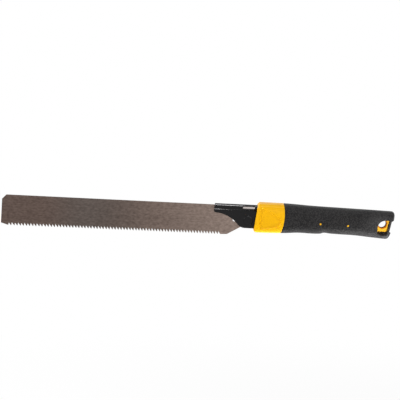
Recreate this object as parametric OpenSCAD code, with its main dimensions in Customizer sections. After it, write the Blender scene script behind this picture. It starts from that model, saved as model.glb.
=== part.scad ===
// Flush cut saw: a pull-stroke blade hooked on a rivet in a folded sheet holder, with a moulded handle.
// Millimetres. X runs from the toe to the butt, Z from the teeth to the back, Y across the saw.
// The modules are drawn about the axis of the hook pin, and placed() moves the hang hole to the origin.

/* [Blade] */
// length of the toothed edge
tooth_run = 213; // [180:3:240]
// distance from one tooth tip to the next
tooth_pitch = 3; // [2.4:0.1:3.6]
// height of a tooth from gullet to tip
tooth_depth = 2.9; // [2:0.1:3.2]
// flat left on each tooth tip
tip_land = 0.35; // [0.3:0.05:0.6]
// lean of the steep tooth face from upright
tooth_rake = 10; // [4:1:14]
// turn of the file in each gullet, to one side and then to the other
tooth_bevel = 12; // [4:1:14]
// sheet thickness of the blade
blade_t = 0.7; // [0.5:0.05:0.9]
// height of the blade from its back to the tooth tips
blade_h = 29.4; // [28:0.2:32]
// extra height of the blade at the toe
toe_widen = 1.4; // [0:0.1:2]
// how much wider the teeth are spaced at the toe than at the heel, as a share of the pitch
pitch_growth = 0.12; // [0:0.01:0.15]
// plain edge between the toe and the first tooth
toe_plain = 7.8; // [5:0.1:10]
// rise of the plain edge towards the toe
toe_rise = 2.3; // [0.5:0.1:3]
// corner cut off at the back of the toe
toe_cut = 4.3; // [2:0.1:7]
// plain edge behind the last tooth
heel_plain = 5.8; // [4:0.1:7]
// distance of the last tooth from the hook pin
heel_reach = 26.4; // [25:0.2:32]
// radius of the hook at the end of the tang
hook_r = 6.4; // [5.5:0.1:6.6]
// radius of the punched hole in the tang
punch_r = 1.8; // [1:0.1:2.2]
// distance of the punched hole in front of the hook pin
punch_reach = 13.8; // [13:0.1:16]

/* [Holder] */
// sheet thickness of the folded holder
sheet_t = 1.05; // [0.8:0.05:1.3]
// outer radius of the rolled fold
bead_r = 3.2; // [2.9:0.1:3.6]
// height of the middle of the fold above the hook pin
bead_z = 12.5; // [12:0.1:13]
// free room on each side of the blade
blade_play = 0.3; // [0.3:0.05:0.5]
// reach of the holder's nose in front of the hook pin
nose_reach = 33.7; // [30:0.1:36]
// lower edge of the cheeks below the hook pin
cheek_drop = 7.65; // [7.2:0.05:8]
// depth of the cheek at the nose, below the middle of the fold
nose_depth = 5.8; // [5:0.1:7]
// radius of the long upper part of the S-shaped edge
s_upper_r = 30; // [28:0.2:33]
// radius of the short lower part of the S-shaped edge
s_lower_r = 9.7; // [8.5:0.1:11]
// length of the slot in the fold in front of the hook pin
slot_reach = 6.9; // [5:0.1:8]
// height of the slot in the fold
slot_h = 3.4; // [2.5:0.1:4]
// length of the slot in the fold behind the hook pin
slot_rear = 5.4; // [3:0.1:6]
// length of the full-height holder behind the hook pin
holder_in = 14; // [12:0.5:18]
// length of the two legs behind the hook pin
leg_in = 66; // [60:1:72]
// height of the two legs
leg_h = 14.5; // [12:0.5:15]

/* [Fasteners] */
// shank radius of the hook pin
pin_r = 2.5; // [2:0.1:3]
// running fit between the hook and the pin, on the radius
pin_fit = 0.05; // [0.03:0.01:0.08]
// head radius of the hook pin
head_r = 4.75; // [4:0.05:5.2]
// head height of the hook pin
head_t = 0.8; // [0.5:0.1:1.2]
// length of the tapered tip of the tang rod
rod_tip = 2; // [1.4:0.2:4]
// length of the tang rod behind the hook pin
rod_in = 30; // [26:0.5:32]
// radius of the cross pins
cross_r = 2; // [1.5:0.1:2.5]

/* [Handle] */
// length of the handle
handle_len = 135.45; // [130:0.05:150]
// half of the height at the collar
half_h = 14.45; // [14:0.05:16]
// half of the width at the collar
half_w = 12; // [11:0.1:14]
// middle of the handle above the hook pin
handle_z = 3.7; // [3.5:0.05:4.2]
// front of the handle behind the hook pin, at mid height
front_x = 6.95; // [6.5:0.05:7.5]
// backward lean of the front of the handle, for each millimetre of height
front_lean = 0.123; // [0.09:0.003:0.15]
// backward lean of the butt, for each millimetre of height
butt_lean = 0.173; // [0.12:0.001:0.2]
// bevel round the front of the collar
front_bevel = 2; // [1:0.1:2.1]
// wall left round the hollow in the front of the collar
front_wall = 2.3; // [2.1:0.1:2.5]
// depth of the hollow in the front of the collar
front_hollow = 4; // [2:0.2:6]
// length of the collar at its middle
collar_len = 28.35; // [28:0.05:32]
// radius of the collar's rounded rear edge
collar_r = 52; // [42:0.5:64]
// depth of the bare panel in each side of the collar
panel_depth = 0.7; // [0.4:0.05:0.9]
// width of the spine of the core
spine_w = 12; // [10:0.2:14]
// height of the spine of the core
spine_h = 16.5; // [15:0.1:17.5]
// radius of the pips in the rubber
pip_r = 1.25; // [0.8:0.05:1.8]
// place of the first pip behind the end of the holder's legs
pip_after = 4.48; // [3:0.02:6]
// distance between the pips
pip_pitch = 26.41; // [24:0.01:28]

/* [Hang hole] */
// radius of the hang hole
hang_r = 4; // [3:0.1:4.5]
// distance of the hang hole from the end of the handle
hang_back = 10.9; // [10.5:0.05:11.5]
// thickness of the eye at the hang hole
eye_t = 6.6; // [5:0.1:9]
// height of the hang hole above the hook pin
hang_z = 3.4; // [3:0.1:3.8]
// length of the window in the rubber
window_l = 11.2; // [10.8:0.1:11.6]
// height of the window in the rubber
window_h = 11.7; // [11:0.1:12.2]
// wall of rubber between the window and the notch across the butt
butt_wall = 2.2; // [1.8:0.05:2.6]

/* [Hidden] */
$fn = 64;
over = 1;

// handle sections, as rows of [share of the handle's length, share of the size at the collar]
low_shares = [[0, 1], [0.226, 0.962], [0.324, 0.907], [0.43, 0.927], [0.485, 0.907], [0.512, 0.83],
    [0.56, 0.865], [0.626, 0.886], [0.734, 0.907], [0.851, 0.99], [0.946, 1.052], [1, 1.075]];
top_shares = [[0, 1], [0.22, 0.995], [0.41, 0.935], [0.61, 0.895], [0.83, 0.86], [1, 0.83]];
wide_shares = [[0, 1], [0.22, 1], [0.33, 0.96], [0.63, 1.12], [0.9, 0.95], [1, 0.92]];
// and how square the sections are: 2 is an ellipse
square_powers = [[0, 5], [0.22, 4.2], [0.4, 3], [0.9, 2.6], [1, 2.8]];
around = 40;
turn_share = 0.5;
cap_w_share = 0.073;
cap_h_share = 0.037;
collar_steps = [0.07, 0.14, 0.2, 0.26];
grip_steps = [0.14, 0.19, 0.23, 0.27, 0.31, 0.345, 0.38, 0.41, 0.44, 0.465, 0.485, 0.5, 0.515, 0.53, 0.55,
    0.58, 0.62, 0.67, 0.72, 0.77, 0.82, 0.87, 0.905, 0.93, 0.945, 0.958];
cap_steps = [0.4, 0.65, 0.85, 0.95];

// blade
back_z = bead_z + bead_r - sheet_t - blade_play;
tip_z = back_z - blade_h;
toe_tip_z = tip_z - toe_widen;
tooth_count = floor(tooth_run / tooth_pitch);
toe_x = -heel_reach - tooth_run - toe_plain;
cut_share = 1 + over / tooth_depth;
heel_rise = 0.3;
rear_reach = 6;
tang_share = 0.96;
tang_low = tang_share * hook_r;
step_angle = 110;
step_share = 0.8;
step_r = step_share * hook_r;
step_gap = 1.2;
seat_r = pin_r + pin_fit;
toe_lean = 0.9;

// holder
cheek_in = blade_t / 2 + blade_play;
cheek_out = cheek_in + sheet_t;
bead_in = bead_r - sheet_t;
rod_r = bead_in - pin_fit;
nose_z = bead_z - nose_depth;
nose_lean = 0.6;
nose_round = 2;
s_drop = nose_z + cheek_drop;
s_turn = acos(1 - s_drop / (s_upper_r + s_lower_r));
s_steps = 16;
s_mid_x = -nose_reach + s_upper_r * sin(s_turn);
s_end_x = s_mid_x + s_lower_r * sin(s_turn);
slot_lift = 0.3;
slot_low = bead_z + slot_lift - slot_h / 2;
slot_point = 1.5;
slot_slant = 0.8;
leg_z_share = 0.59;
leg_z = handle_z * leg_z_share;
cross_shares = [0.7, 0.9];
head_taper = 0.45;
tip_r = 0.35;
rod_gap = 0.5;
rod_x = rod_gap - slot_reach;

// handle
hang_x = front_x + handle_len - hang_back;
collar_x = front_x + collar_len;
collar_z_share = 0.3;
collar_z = handle_z + half_h * collar_z_share;
// corners of the panel, as shares of the collar's length, half height and half height for the radius
panel_shares = [[0.208, 0.588, 0.14], [0.7, -0.166, 0.37], [0.262, -0.554, 0.14]];
spine_x = collar_x / 2;
spine_z_share = 0.72;
spine_z = handle_z * spine_z_share;
eye_shares = [1, 1.45, 0.44];
eye_x = hang_x - window_l * eye_shares[0];
eye_h = window_h * eye_shares[1];
eye_z = hang_z * eye_shares[2];
// heights of the pips, as shares of half the collar's height
pip_z_shares = [-0.145, -0.159];
pip_sink = 0.12;
// the window's back wall, foot and corner, the scoop and the notch, as shares of the window
window_slant = 0.184;
back_share = 0.513;
drop_share = 0.641;
round_share = 0.61;
tuck_share = 0.35;
lead_share = 0.2;
notch_shares = [0.555, 0.427, 0.05];
window_back = window_l * back_share;
window_x = hang_x + window_back - window_l;
window_z = hang_z - window_h * drop_share;
window_round = window_l * round_share;
eye_tuck = butt_wall * tuck_share;
scoop_in_share = 0.48;
scoop_in = eye_t * scoop_in_share;
scoop_drop_share = 0.46;
scoop_lead = window_l * lead_share;
notch_rise = window_h * notch_shares[0];
notch_drop = window_h * notch_shares[1];
notch_round = window_h * notch_shares[2];

// Hermite curve through the rows of a table, level at both ends
function tangent(t, i) = i == 0 || i == len(t) - 1 ? 0
    : (t[i + 1][1] - t[i - 1][1]) / (t[i + 1][0] - t[i - 1][0]);
function row(t, s, i = 0) = i >= len(t) - 2 || s < t[i + 1][0] ? i : row(t, s, i + 1);
function curve(t, s) =
    let (i = row(t, s), h = t[i + 1][0] - t[i][0], u = (s - t[i][0]) / h, v = 1 - u)
    v * v * (1 + 2 * u) * t[i][1] + u * v * v * h * tangent(t, i)
    + u * u * (3 - 2 * u) * t[i + 1][1] - u * u * v * h * tangent(t, i + 1);

// rounded closing of the butt: 1 before the cap begins, falling to nothing at its end
function cap(s, share, power) =
    let (u = max(0, (s - 1 + share) / share)) pow(1 - pow(u, power), 1 / power);
function width_at(s) = half_w * curve(wide_shares, s) * cap(s, cap_w_share, 2);
function top_at(s) = half_h * curve(top_shares, s) * cap(s, cap_h_share, 3);
function low_at(s) = half_h * curve(low_shares, s) * cap(s, cap_h_share, 3);
function lean_at(s) = front_lean + (butt_lean - front_lean) * s;
function bulge(q, power) = sign(q) * pow(abs(q), 2 / power);

// one leaning section of the handle, a superellipse made smaller by inset
function section(s, inset = 0) =
    [for (k = [0 : around - 1])
        let (a = 360 * (k + turn_share) / around, n = curve(square_powers, s), up = bulge(sin(a), n),
            z = up * ((up > 0 ? top_at(s) : low_at(s)) - inset))
        [front_x + handle_len * s + lean_at(s) * z, bulge(cos(a), n) * (width_at(s) - inset), handle_z + z]];

// arc of points about [x, z]
function arc(x, z, r, from, to, steps) =
    [for (k = [0 : steps]) let (a = from + (to - from) * k / steps) [x + r * cos(a), z + r * sin(a)]];

module placed() {
    translate([-hang_x, 0, -hang_z]) children();
}

// a flat drawing in X and Z, given thickness across the saw
module side(t) {
    rotate([90, 0, 0]) linear_extrude(height = t, center = true) children();
}

// a round bar across the saw
module across(x, z, r, t) {
    translate([x, 0, z]) rotate([90, 0, 0]) cylinder(r = r, h = t, center = true);
}

// a round bar along the saw
module along(x, z, r, l) {
    translate([x, 0, z]) rotate([0, 90, 0]) cylinder(r = r, h = l);
}

// a solid through a row of sections
module loft(rows) {
    last = len(rows) - 1;
    skin = [for (i = [0 : last - 1], k = [0 : around - 1])
        let (j = (k + 1) % around, a = i * around, b = a + around)
        each [[a + k, b + k, b + j], [a + k, b + j, a + j]]];
    front = [for (k = [0 : around - 1]) k];
    rear = [for (k = [around - 1 : -1 : 0]) last * around + k];
    polyhedron(points = [for (r = rows) each r], faces = concat(skin, [front, rear]));
}

module collar_drum() {
    across(collar_x - collar_r, collar_z, collar_r, 4 * half_w);
}

module spine() {
    translate([spine_x, -spine_w / 2, spine_z - spine_h / 2])
        cube([eye_x + over - spine_x, spine_w, spine_h]);
}

// back wall of the window at height z, moved back by extra
function window_end(z, extra = 0) = [hang_x + window_back + extra + window_slant * (z - hang_z), z];

module eye() {
    side(eye_t)
        polygon([[eye_x, eye_z - eye_h / 2], window_end(eye_z - eye_h / 2, eye_tuck),
            window_end(eye_z + eye_h / 2, eye_tuck), [eye_x, eye_z + eye_h / 2]]);
}

// place of pip i along the saw, behind the legs
function pip_x(i) = leg_in + pip_after + pip_pitch * i;

module pips(extra = 0) {
    for (i = [0 : len(pip_z_shares) - 1])
        across(pip_x(i), handle_z + half_h * pip_z_shares[i], pip_r,
            2 * (width_at((pip_x(i) - front_x) / handle_len) - pip_sink + extra));
}

module cross_holes() {
    for (share = cross_shares) across(leg_in * share, leg_z, cross_r, spine_w);
}

module legs() {
    for (y = [-cheek_out, cheek_in])
        translate([holder_in - over, y, leg_z - leg_h / 2])
            cube([leg_in - holder_in + over, sheet_t, leg_h]);
}

module blade_outline() {
    polygon([[toe_x + toe_lean, back_z - toe_cut], [toe_x + toe_lean + toe_cut, back_z],
        [-slot_reach - step_gap, back_z], [step_r * cos(step_angle), step_r * sin(step_angle)], [0, 0],
        [0, -tang_low], [-rear_reach, -tang_low], [heel_plain - heel_reach, tip_z + heel_rise],
        [-heel_reach, tip_z], [toe_x + toe_plain, toe_tip_z], [toe_x, toe_tip_z + toe_rise]]);
}

// room for the hook pin, open towards the teeth
module hook_mouth() {
    across(0, 0, seat_r, blade_t + 2 * over);
    translate([-seat_r, -blade_t / 2 - over, -hook_r - over])
        cube([2 * seat_r, blade_t + 2 * over, hook_r + over]);
}

// place of gullet i, counted from the heel: the spacing grows steadily towards the toe
function gullet_x(i) =
    -heel_reach - tooth_pitch * i * (1 + pitch_growth * (i / tooth_count - 1) / 2);

// the file's cut between two teeth: steep on the side of the toe, sloping on the side of the heel
module gullet(pitch) {
    face = tooth_depth * tan(tooth_rake);
    slope = pitch - tip_land - face;
    side(blade_t + 2 * over)
        polygon([[0, tooth_depth], [-face * cut_share, tooth_depth * (1 - cut_share)],
            [slope * cut_share, tooth_depth * (1 - cut_share)]]);
}

module blade() {
    placed() color("silver") difference() {
        union() {
            side(blade_t) blade_outline();
            across(0, 0, hook_r, blade_t);
        }
        hook_mouth();
        across(-punch_reach, 0, punch_r, blade_t + 2 * over);
        for (i = [1 : tooth_count])
            translate([gullet_x(i), 0, tip_z - toe_widen * i / tooth_count])
                rotate([0, 0, i % 2 == 0 ? tooth_bevel : -tooth_bevel])
                gullet(gullet_x(i - 1) - gullet_x(i));
    }
}

module holder_outline() {
    polygon(concat(
        [[holder_in, bead_z + bead_r + over], [holder_in, -cheek_drop]],
        arc(s_end_x, s_lower_r - cheek_drop, s_lower_r, -90, -90 - s_turn, s_steps),
        arc(-nose_reach, nose_z - s_upper_r, s_upper_r, 90 - s_turn, 90 - asin(nose_round / s_upper_r),
            s_steps),
        arc(-nose_reach - nose_lean + nose_round, nose_z + nose_round, nose_round, 270, 180, s_steps / 2),
        [[-nose_reach, bead_z + bead_r], [-nose_reach, bead_z + bead_r + over]]));
}

module slot_outline() {
    polygon([[-slot_reach, bead_z + slot_lift], [slot_point - slot_reach, slot_low],
        [slot_rear, slot_low], [slot_rear + slot_slant, slot_low + slot_h],
        [slot_point - slot_reach, slot_low + slot_h]]);
}

module holder_body(l) {
    along(-nose_reach - nose_lean - over, bead_z, bead_r, l + nose_reach + nose_lean + over);
    translate([-nose_reach - nose_lean - over, -cheek_out, -cheek_drop - over])
        cube([l + nose_reach + nose_lean + over, 2 * cheek_out, bead_z + cheek_drop + over]);
}

module blade_holder() {
    placed() color("dimgray") difference() {
        union() {
            intersection() {
                side(4 * bead_r) holder_outline();
                difference() {
                    holder_body(holder_in);
                    along(-nose_reach - nose_lean - 2 * over, bead_z, bead_in,
                        nose_reach + holder_in + 4 * over);
                    translate([-nose_reach - nose_lean - 2 * over, -cheek_in, -cheek_drop - 2 * over])
                        cube([nose_reach + holder_in + 4 * over, 2 * cheek_in,
                            bead_z + cheek_drop + 2 * over]);
                }
            }
            legs();
        }
        side(4 * bead_r) slot_outline();
        across(0, 0, pin_r, 4 * bead_r);
        cross_holes();
    }
}

module hook_pin() {
    placed() color("black") {
        across(0, 0, pin_r, 2 * cheek_out + head_t);
        for (turn = [-90, 90])
            rotate([turn, 0, 0]) translate([0, 0, cheek_out])
                cylinder(r1 = head_r, r2 = head_r - head_taper, h = head_t);
    }
}

module tang_rod() {
    placed() color("lightgray") {
        along(rod_x + rod_tip, bead_z, rod_r, rod_in - rod_x - rod_tip);
        translate([rod_x, 0, bead_z]) rotate([0, 90, 0]) cylinder(r1 = tip_r, r2 = rod_r, h = rod_tip);
    }
}

module tang_pins() {
    placed() color("lightgray") cross_holes();
}

module panel() {
    hull()
        for (p = panel_shares)
            translate([front_x + collar_len * p[0] + front_lean * half_h * p[1],
                handle_z + half_h * p[1]]) circle(r = half_h * p[2]);
}

module handle_core() {
    placed() color("gold") difference() {
        union() {
            difference() {
                intersection() {
                    loft(concat([section(0, front_bevel), section(front_bevel / handle_len)],
                        [for (s = collar_steps) section(s)]));
                    collar_drum();
                }
                loft([section(-over / handle_len, front_wall),
                    section(front_hollow / handle_len, front_wall)]);
                for (y = [-half_w, half_w]) translate([0, y, 0]) side(2 * panel_depth) panel();
            }
            spine();
            eye();
            pips();
        }
        intersection() {
            holder_body(holder_in);
            translate([0, -half_w, -cheek_drop])
                cube([holder_in, 2 * half_w, bead_z + cheek_drop + bead_r + over]);
        }
        legs();
        along(0, bead_z, rod_r, rod_in);
        cross_holes();
        across(hang_x, hang_z, hang_r, 2 * eye_t);
    }
}

// the opening in the rubber round the hang hole
module window_outline() {
    polygon(concat(
        [window_end(window_z), window_end(window_z + window_h)],
        arc(window_x + window_round, window_z + window_h - window_round, window_round, 90, 180, s_steps),
        [[window_x, window_z]]));
}

// the hollow below the window, deeper towards the surface
module scoop() {
    l = window_end(window_z)[0] - window_x - scoop_lead;
    for (turn = [0, 180])
        rotate([0, 0, turn])
            translate([turn == 0 ? window_x + scoop_lead : -window_x - scoop_lead - l, 0, window_z])
            rotate([90, 0, 90]) linear_extrude(height = l)
                polygon([[scoop_in, over], [scoop_in, 0],
                    [2 * half_w, -(2 * half_w - scoop_in) * scoop_drop_share], [2 * half_w, over]]);
}

module notch() {
    side(4 * half_w)
        polygon([window_end(notch_rise, butt_wall), window_end(-notch_drop, butt_wall),
            window_end(-notch_drop - notch_round, butt_wall + half_w),
            window_end(notch_rise + notch_round, butt_wall + half_w)]);
}

module grip_sleeve() {
    placed() color("darkslategray") difference() {
        loft(concat([for (s = grip_steps) section(s)],
            [for (u = cap_steps) section(1 - cap_h_share * (1 - u))]));
        collar_drum();
        spine();
        eye();
        pips(over);
        side(4 * half_w) window_outline();
        scoop();
        notch();
    }
}

blade();
blade_holder();
hook_pin();
tang_rod();
tang_pins();
handle_core();
grip_sleeve();
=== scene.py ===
# %% [markdown]
# # A flush cut saw, dressed for its picture
# The CAD model gives this saw its sizes, its joint and its plain solids. Here the same saw gets the
# surfaces that a hand and an eye would meet: a moulded rubber grip, a glossy yellow collar, a folded
# and painted blade holder and a brushed steel blade. All lengths below are in millimetres, measured
# from the rivet that the blade hooks on, as in the CAD source. One function turns them into metres
# in the shared frame, whose origin is the hang hole.

import bmesh
import bpy
import numpy as np
from mathutils import Matrix, Vector


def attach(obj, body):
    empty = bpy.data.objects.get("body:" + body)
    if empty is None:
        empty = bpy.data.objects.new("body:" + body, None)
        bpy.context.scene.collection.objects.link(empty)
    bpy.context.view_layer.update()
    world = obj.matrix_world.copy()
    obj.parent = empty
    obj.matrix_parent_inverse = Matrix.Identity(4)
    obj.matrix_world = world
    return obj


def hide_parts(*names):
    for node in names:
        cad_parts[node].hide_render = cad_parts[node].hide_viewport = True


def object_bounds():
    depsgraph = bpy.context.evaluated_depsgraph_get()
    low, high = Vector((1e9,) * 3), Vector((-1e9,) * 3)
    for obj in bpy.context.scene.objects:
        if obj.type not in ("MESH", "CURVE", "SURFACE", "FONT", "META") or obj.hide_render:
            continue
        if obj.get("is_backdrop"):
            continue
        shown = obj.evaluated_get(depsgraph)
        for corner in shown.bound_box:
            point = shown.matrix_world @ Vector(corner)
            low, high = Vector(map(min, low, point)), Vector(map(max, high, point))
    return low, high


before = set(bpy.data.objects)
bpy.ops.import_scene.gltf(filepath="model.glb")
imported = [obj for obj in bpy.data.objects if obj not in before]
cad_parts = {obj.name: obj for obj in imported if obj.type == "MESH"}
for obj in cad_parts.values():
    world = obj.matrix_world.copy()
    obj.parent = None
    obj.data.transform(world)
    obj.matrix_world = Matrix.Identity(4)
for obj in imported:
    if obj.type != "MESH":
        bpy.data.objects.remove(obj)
cad_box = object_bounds()
scene = bpy.context.scene
scene.view_settings.view_transform = "Standard"
print("nodes:", ", ".join(sorted(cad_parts)))

# %% [markdown]
# ## From the maker's millimetres to the shared frame
# The CAD source draws everything about the rivet and then moves the hang hole to the origin. Doing
# the same here lets every number be compared with the drawing. The saw is the same on both sides of
# its middle plane, where y is 0, so two factors mirror points or lay them on that plane.

# %% Datum
HANG = np.array([131.5, 0.0, 3.4])
HANG_XZ = HANG[[0, 2]]
MM = 0.001
MIRRORED, ON_MIDDLE = np.array([1, -1, 1]), np.array([1, 0, 1])


def to_frame(points):
    """Metres in the shared frame: the hang hole's place is taken off, and the rest is scaled."""
    return (np.asarray(points, float) - HANG) * MM


print("rivet in the frame:", to_frame([0, 0, 0]).round(4))

# %% [markdown]
# ## The camera
# The view is nearly square on to the saw's side, eight degrees from above, and rolled a little, so
# that the blade rises towards the toe. The camera's three axes are worked out from those angles: one
# could also aim an empty with a Track To constraint, but then the roll would need a second object.

# %% Camera
YAW, RISE, ROLL = np.radians([-2.0, 8.0, 2.455])
CAMERA_AT = np.array([-16.46, -923.36, 147.86])
FOCAL_PIXELS, FRAME_PIXELS, SENSOR = 942.0, 400.0, 36.0


def camera_axes():
    """Columns right, up and back: the level view axes for yaw and rise, turned by the roll."""
    ahead = np.array([np.sin(YAW) * np.cos(RISE), np.cos(YAW) * np.cos(RISE), -np.sin(RISE)])
    level = np.array([np.cos(YAW), -np.sin(YAW), 0.0])
    above = np.cross(level, ahead)
    right = level * np.cos(ROLL) + above * np.sin(ROLL)
    up = above * np.cos(ROLL) - level * np.sin(ROLL)
    return np.column_stack([right, up, -ahead])


lens = bpy.data.cameras.new("camera")
lens.sensor_width = SENSOR
lens.lens = FOCAL_PIXELS / FRAME_PIXELS * SENSOR
camera = bpy.data.objects.new("camera", lens)
scene.collection.objects.link(camera)
turn = Matrix(camera_axes().tolist()).to_4x4()
camera.matrix_world = Matrix.Translation(to_frame(CAMERA_AT)) @ turn
scene.camera = camera
print("lens:", round(lens.lens, 1), "mm")

# %% [markdown]
# ## Shader sums as Python sums
# A material's pattern is arithmetic on numbers that change over the surface. Wrapping a socket in a
# small class lets that arithmetic be written as ordinary Python: each operator adds one Math node.
# Everything that isn't a sum, such as a noise texture, comes from one method.

# %% Socket class


class Wire:
    """A node's output socket. Sums on wires add Math nodes, and node() adds any other node."""

    def __init__(self, tree, socket):
        self.tree, self.socket = tree, socket

    def node(self, kind, settings=None, inputs=None, output=0):
        """A new node of that kind: its settings first, then its sockets' values or links."""
        made = self.tree.nodes.new(kind)
        for key, value in (settings or {}).items():
            setattr(made, key, value)
        for key, value in (inputs or {}).items():
            self.put(made.inputs[key], value)
        return Wire(self.tree, made.outputs[output])

    def put(self, socket, value):
        """Links a wire to the socket, or sets a plain value on it."""
        if isinstance(value, Wire):
            self.tree.links.new(value.socket, socket)
        else:
            socket.default_value = value

    def math(self, operation, *values):
        """One Math node on these values."""
        return self.node("ShaderNodeMath", {"operation": operation}, dict(enumerate(values)))

    def __add__(self, other):
        return self.math("ADD", self, other)

    def __sub__(self, other):
        return self.math("SUBTRACT", self, other)

    def __rsub__(self, other):
        return self.math("SUBTRACT", other, self)

    def __mul__(self, other):
        return self.math("MULTIPLY", self, other)

    __radd__, __rmul__ = __add__, __mul__

    def between(self, low, high):
        """0 below low, 1 above high, and a smooth rise from one to the other."""
        smooth = {"interpolation_type": "SMOOTHSTEP"}
        return self.node("ShaderNodeMapRange", smooth, {0: self, 1: low, 2: high})

    def mix(self, first, second):
        """The colour first where this wire is 0, and second where it is 1."""
        colours = {0: self, 6: first, 7: second}
        return self.node("ShaderNodeMix", {"data_type": "RGBA"}, colours, output=2)


print("class:", Wire.__name__)

# %% [markdown]
# ## What every finish needs
# Colours are given as they look on the screen. A finish begins with a new material, its patterns are
# noise in the piece's own coordinates, so that they stay on a piece that moves, and at the end the
# shader's sockets are filled by name.

# %% Finish helpers


def linear(red, green, blue):
    """A screen colour, 0 to 255, as the shader's linear colour, by the sRGB curve."""
    share = np.array([red, green, blue]) / 255
    low, high = share / 12.92, ((share + 0.055) / 1.055) ** 2.4
    return (*np.where(share <= 0.04045, low, high).tolist(), 1.0)


def new_finish(name):
    """A material with its Principled shader, and the wire of its Object coordinates."""
    material = bpy.data.materials.new(name)
    material.use_nodes = True
    tree = material.node_tree
    shader = tree.nodes["Principled BSDF"]
    coordinates = tree.nodes.new("ShaderNodeTexCoord")
    return material, shader, Wire(tree, coordinates.outputs["Object"])


def fill(shader, place, sockets):
    """Links or sets each named socket of the shader."""
    for name, value in sockets.items():
        place.put(shader.inputs[name], value)


def noise(place, scale, detail=3.0, roughness=0.5, stretch=(1, 1, 1)):
    """Noise of that many cells to the metre, with the coordinates stretched first."""
    moved = place.node("ShaderNodeMapping", inputs={"Vector": place, "Scale": stretch})
    inputs = {"Vector": moved, "Scale": scale, "Detail": detail, "Roughness": roughness}
    return place.node("ShaderNodeTexNoise", inputs=inputs)


def axis(place, name):
    """One coordinate, X, Y or Z, as a wire of its own."""
    return place.node("ShaderNodeSeparateXYZ", inputs={"Vector": place}, output=name)


def bumped(place, height, distance, strength=1.0):
    """A normal from a height wire: distance is in metres."""
    inputs = {"Height": height, "Distance": distance, "Strength": strength}
    return place.node("ShaderNodeBump", inputs=inputs)


print("yellow as the shader sees it:", [round(c, 3) for c in linear(250, 192, 10)])

# %% [markdown]
# ## Light
# A narrow lamp overhead draws the bright line along the holder's bead, and broad lamps light the saw
# from the left, in front, below and far behind. The one below puts the pale strip on the collar's
# underside. A small lamp adds the glint under the bead, and a narrow spot reaches the eye in its
# window. The background is white to rays from the camera, from gloss and through glass, and dimmer
# to all others, so that mostly the lamps set how bright the saw is.

# %% World and lamps
WORLD_LEVEL = 0.27
WHITE = (1, 1, 1, 1)
MIDDLE = (-20, 0, 5)
LAMPS = [
    # name, place, aim, size, power in watts
    ("key", (-30, -330, 830), MIDDLE, (90, 240), 3.6),
    ("side", (-800, -400, 320), MIDDLE, (400, 400), 6.0),
    ("front", (240, -800, 150), MIDDLE, (400, 300), 1.8),
    ("bounce", (250, -30, -390), MIDDLE, (380, 380), 6.0),
    ("glint", (-50, 66, -374), (-50, 0, 5), (40, 200), 0.85),
    ("rear", (-700, 640, 220), MIDDLE, (400, 400), 5.0),
]
SPOT_AT, SPOT_POWER, SPOT_CONE = (150, -900, 90), 36.0, np.radians(2.4)
SPOT_BLEND, SPOT_SOFT = 0.6, 10.0


def seen_directly(wire):
    """1 for camera, glossy and transmission rays, and 0 for the rays that only carry light."""
    path = wire.tree.nodes.new("ShaderNodeLightPath")
    rays = ("Is Camera Ray", "Is Glossy Ray", "Is Transmission Ray")
    camera_ray, glossy, through = (Wire(wire.tree, path.outputs[ray]) for ray in rays)
    return camera_ray.math("MAXIMUM", camera_ray, glossy.math("MAXIMUM", glossy, through))


def add_lamp(name, kind, place, aim, power):
    """A lamp of that kind at a place, turned towards the point that it is aimed at."""
    lamp = bpy.data.lights.new(name, kind)
    lamp.energy = power
    lamp_object = bpy.data.objects.new(name, lamp)
    scene.collection.objects.link(lamp_object)
    at = Vector(to_frame(place))
    turn = (Vector(to_frame(aim)) - at).to_track_quat("-Z", "Y")
    lamp_object.matrix_world = Matrix.Translation(at) @ turn.to_matrix().to_4x4()
    return lamp


world = bpy.data.worlds.new("white_studio")
scene.world = world
world.use_nodes = True
sky = world.node_tree.nodes["Background"]
sky_wire = Wire(world.node_tree, sky.outputs[0])
direct = seen_directly(sky_wire)
fill(sky, sky_wire, {"Color": WHITE, "Strength": direct * (1 - WORLD_LEVEL) + WORLD_LEVEL})

for name, place, aim, size, power in LAMPS:
    lamp = add_lamp(name, "AREA", place, aim, power)
    lamp.shape = "RECTANGLE"
    lamp.size, lamp.size_y = size[0] * MM, size[1] * MM

eye_lamp = add_lamp("eye_light", "SPOT", SPOT_AT, HANG, SPOT_POWER)
eye_lamp.spot_size, eye_lamp.spot_blend = SPOT_CONE, SPOT_BLEND
eye_lamp.shadow_soft_size = SPOT_SOFT * MM
print("lamps:", len(LAMPS) + 1)

# %% [markdown]
# ## The floor
# The floor lies well below the saw and keeps a trace of its shadow. It glows almost white to the
# rays that see it, and farther out it fades to the plain white of the background.

# %% Floor
FLOOR_DROP, FLOOR_HALF = 420.0, 1300.0
FLOOR_GREY, FLOOR_ROUGH = (0.9, 0.9, 0.9, 1), 0.9
FLOOR_GLOW, FADE_FROM, FADE_TO = 0.88, 0.5, 1.2

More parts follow.
